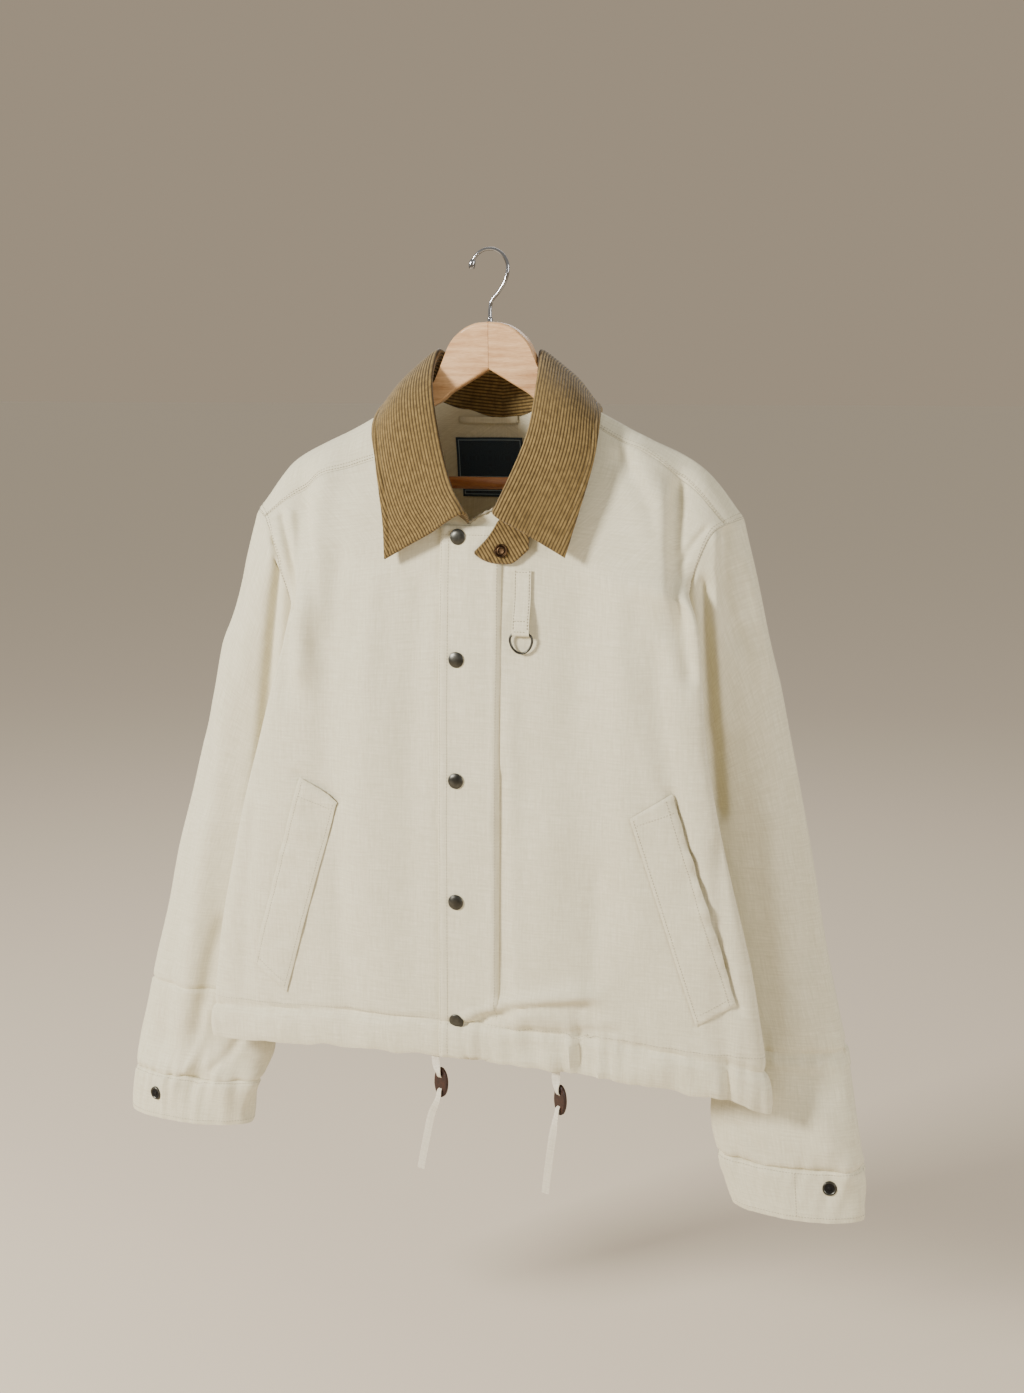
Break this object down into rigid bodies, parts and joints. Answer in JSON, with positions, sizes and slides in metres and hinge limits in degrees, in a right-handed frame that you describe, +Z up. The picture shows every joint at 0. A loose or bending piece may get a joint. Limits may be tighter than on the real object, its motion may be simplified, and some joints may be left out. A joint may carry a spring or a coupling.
{
  "type": "hunting jacket on a hanger",
  "caption": "Waist-length off-white cotton hunting jacket with a tan corduroy collar, buttoned up and hanging on a wooden hanger.",
  "frame": {"origin": "inner top of the hanger's hook, where a rail holds it", "axes": "+Z up, the front of the jacket faces -Y, the wearer's left is +X"},
  "size_m": [0.815, 0.1643, 0.9445],
  "materials": {
    "cotton": "matt plain weave",
    "corduroy": "ribbed pile",
    "beech": "satin lacquer",
    "bar_wood": "satin lacquer, stained",
    "chrome": "polished",
    "gunmetal": "dark plated",
    "label": "woven satin",
    "leather": "smooth",
    "button": "dark bronze plated",
    "tape": "matt woven"
  },
  "bodies": {
    "jacket": {"front_right": "cotton", "front_left": "cotton", "back": "cotton", "sleeve_right": "cotton", "sleeve_left": "cotton", "cuff_right": "cotton", "cuff_left": "cotton", "storm_flap": "cotton", "pocket_welt_right": "cotton", "pocket_welt_left": "cotton", "hanging_loop": "cotton", "ring_tab": "cotton", "collar": "corduroy", "throat_tab": "corduroy", "tab_button": "button", "neck_label": "label", "size_label": "label", "front_snap_1": "gunmetal", "front_snap_2": "gunmetal", "front_snap_3": "gunmetal", "front_snap_4": "gunmetal", "front_snap_5": "gunmetal", "cuff_snap_right": "gunmetal", "cuff_snap_left": "gunmetal", "hanger_half_right": "beech", "hanger_half_left": "beech", "hanger_bar": "bar_wood", "hanger_hook": "chrome", "toggle_right": "leather", "toggle_left": "leather", "draw_tape_right": "tape", "draw_tape_left": "tape"},
    "ring": {"d_ring": "gunmetal"}
  },
  "joints": [
    {"name": "ring_swing", "type": "hinge", "parent": "jacket", "child": "ring", "pos_m": [0.0546, -0.0779, -0.359], "axis": [-1, 0, 0], "range_deg": [0, 150]}
  ]
}
